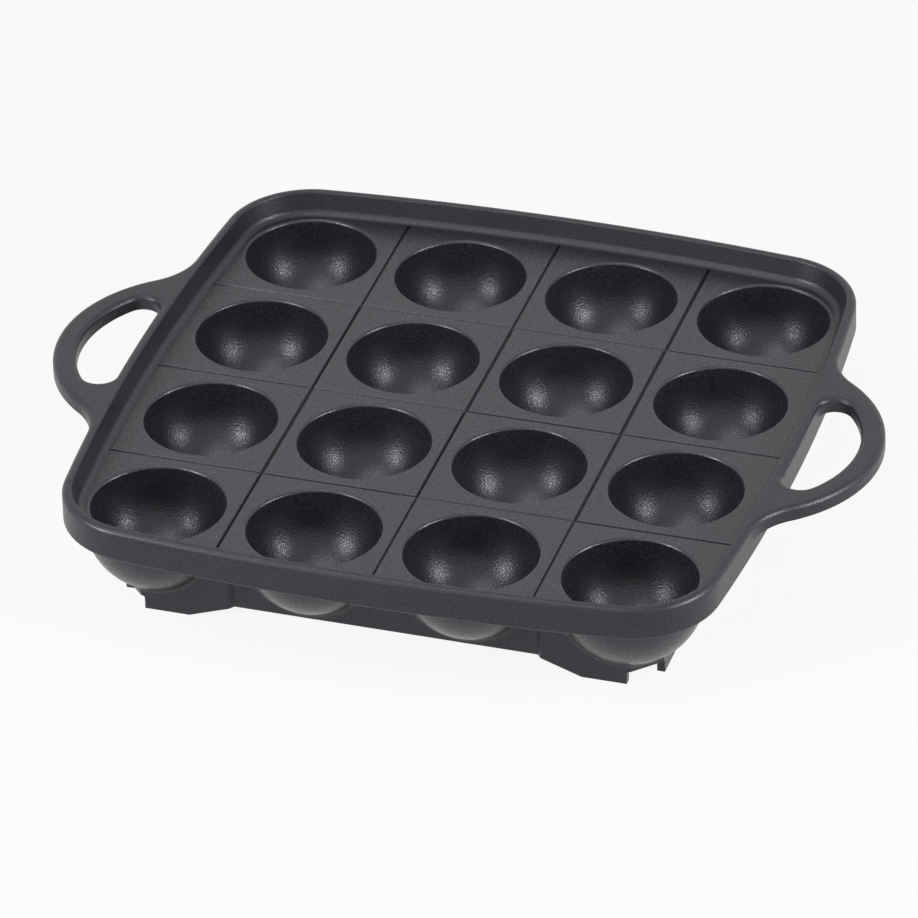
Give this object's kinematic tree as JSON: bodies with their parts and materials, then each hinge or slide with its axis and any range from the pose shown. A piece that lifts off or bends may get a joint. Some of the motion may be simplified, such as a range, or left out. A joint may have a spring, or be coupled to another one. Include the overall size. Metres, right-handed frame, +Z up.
{
  "type": "takoyaki plate",
  "caption": "Stove-top takoyaki plate: square die-cast tray of round cups, with a raised rim, two loop handles and a footed skirt.",
  "frame": {"origin": "on the floor that the feet stand on, under the middle of the tray", "axes": "+X through the middle of both handles, +Y from the front of the tray to its back, +Z up out of the cups"},
  "size_m": [0.276, 0.2236, 0.0404],
  "materials": {
    "non_stick_coating": "die-cast aluminium under a charcoal non-stick coating, satin and finely speckled",
    "outer_coating": "die-cast aluminium under a charcoal heat-resistant coating, matt with a fine grain"
  },
  "bodies": {
    "root": {"cup_r1_c1": "non_stick_coating", "cup_r1_c2": "non_stick_coating", "cup_r1_c3": "non_stick_coating", "cup_r1_c4": "non_stick_coating", "cup_r2_c1": "non_stick_coating", "cup_r2_c2": "non_stick_coating", "cup_r2_c3": "non_stick_coating", "cup_r2_c4": "non_stick_coating", "cup_r3_c1": "non_stick_coating", "cup_r3_c2": "non_stick_coating", "cup_r3_c3": "non_stick_coating", "cup_r3_c4": "non_stick_coating", "cup_r4_c1": "non_stick_coating", "cup_r4_c2": "non_stick_coating", "cup_r4_c3": "non_stick_coating", "cup_r4_c4": "non_stick_coating", "right_handle": "outer_coating", "left_handle": "outer_coating", "back_rim": "outer_coating", "front_rim": "outer_coating", "right_skirt": "outer_coating", "back_skirt": "outer_coating", "left_skirt": "outer_coating", "front_skirt": "outer_coating", "back_right_corner_skirt": "outer_coating", "back_left_corner_skirt": "outer_coating", "front_left_corner_skirt": "outer_coating", "front_right_corner_skirt": "outer_coating", "right_skirt_front_foot": "outer_coating", "right_skirt_back_foot": "outer_coating", "back_skirt_right_foot": "outer_coating", "back_skirt_left_foot": "outer_coating", "left_skirt_back_foot": "outer_coating", "left_skirt_front_foot": "outer_coating", "front_skirt_left_foot": "outer_coating", "front_skirt_right_foot": "outer_coating"}
  },
  "joints": []
}
